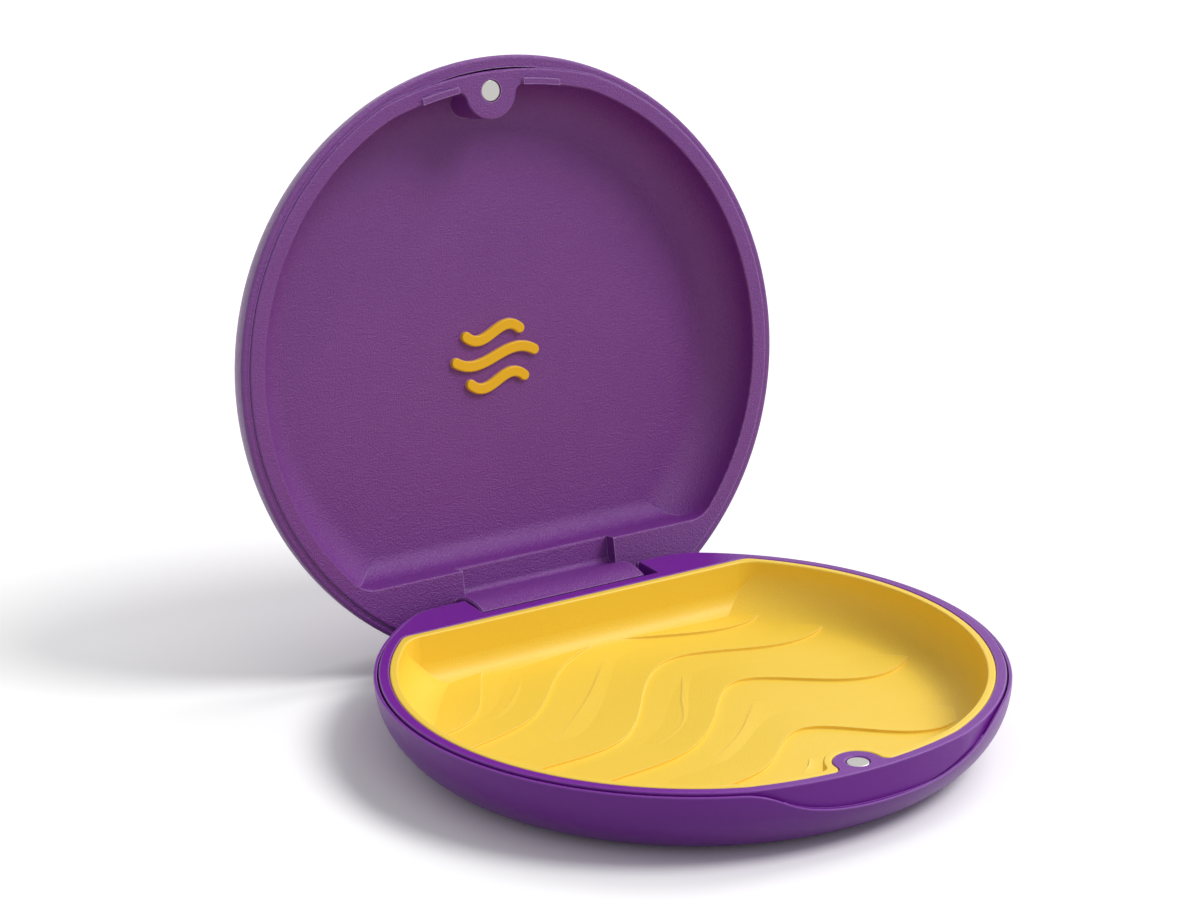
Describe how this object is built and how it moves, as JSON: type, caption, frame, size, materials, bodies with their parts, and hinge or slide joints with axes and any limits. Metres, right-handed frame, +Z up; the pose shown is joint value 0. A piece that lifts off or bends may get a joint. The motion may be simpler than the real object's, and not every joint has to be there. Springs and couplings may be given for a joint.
{
  "type": "aligner case",
  "caption": "Round hinged two-tone case for clear dental aligners, open on its base, with magnets, a thumb scoop and a wave-patterned liner.",
  "frame": {"origin": "middle of the round outline, on the surface the case stands on", "axes": "+Z up, +Y towards the hinge, +X along the hinge"},
  "size_m": [0.0846, 0.1014, 0.0819],
  "materials": {
    "purple_plastic": "fine matte grain",
    "yellow_plastic": "satin",
    "magnet_metal": "plated",
    "pin_steel": "drawn wire"
  },
  "bodies": {
    "base": {"base_shell": "purple_plastic", "base_frame": "purple_plastic", "base_liner": "yellow_plastic", "base_magnet": "magnet_metal", "hinge_pin": "pin_steel"},
    "lid": {"lid_shell": "purple_plastic", "lid_tray": "purple_plastic", "lid_magnet": "magnet_metal", "lid_inlay": "yellow_plastic"}
  },
  "joints": [
    {"name": "lid_hinge", "type": "hinge", "parent": "base", "child": "lid", "pos_m": [0, 0.03458, 0.00701], "axis": [1, 0, 0], "range_deg": [0, 99.9]}
  ]
}
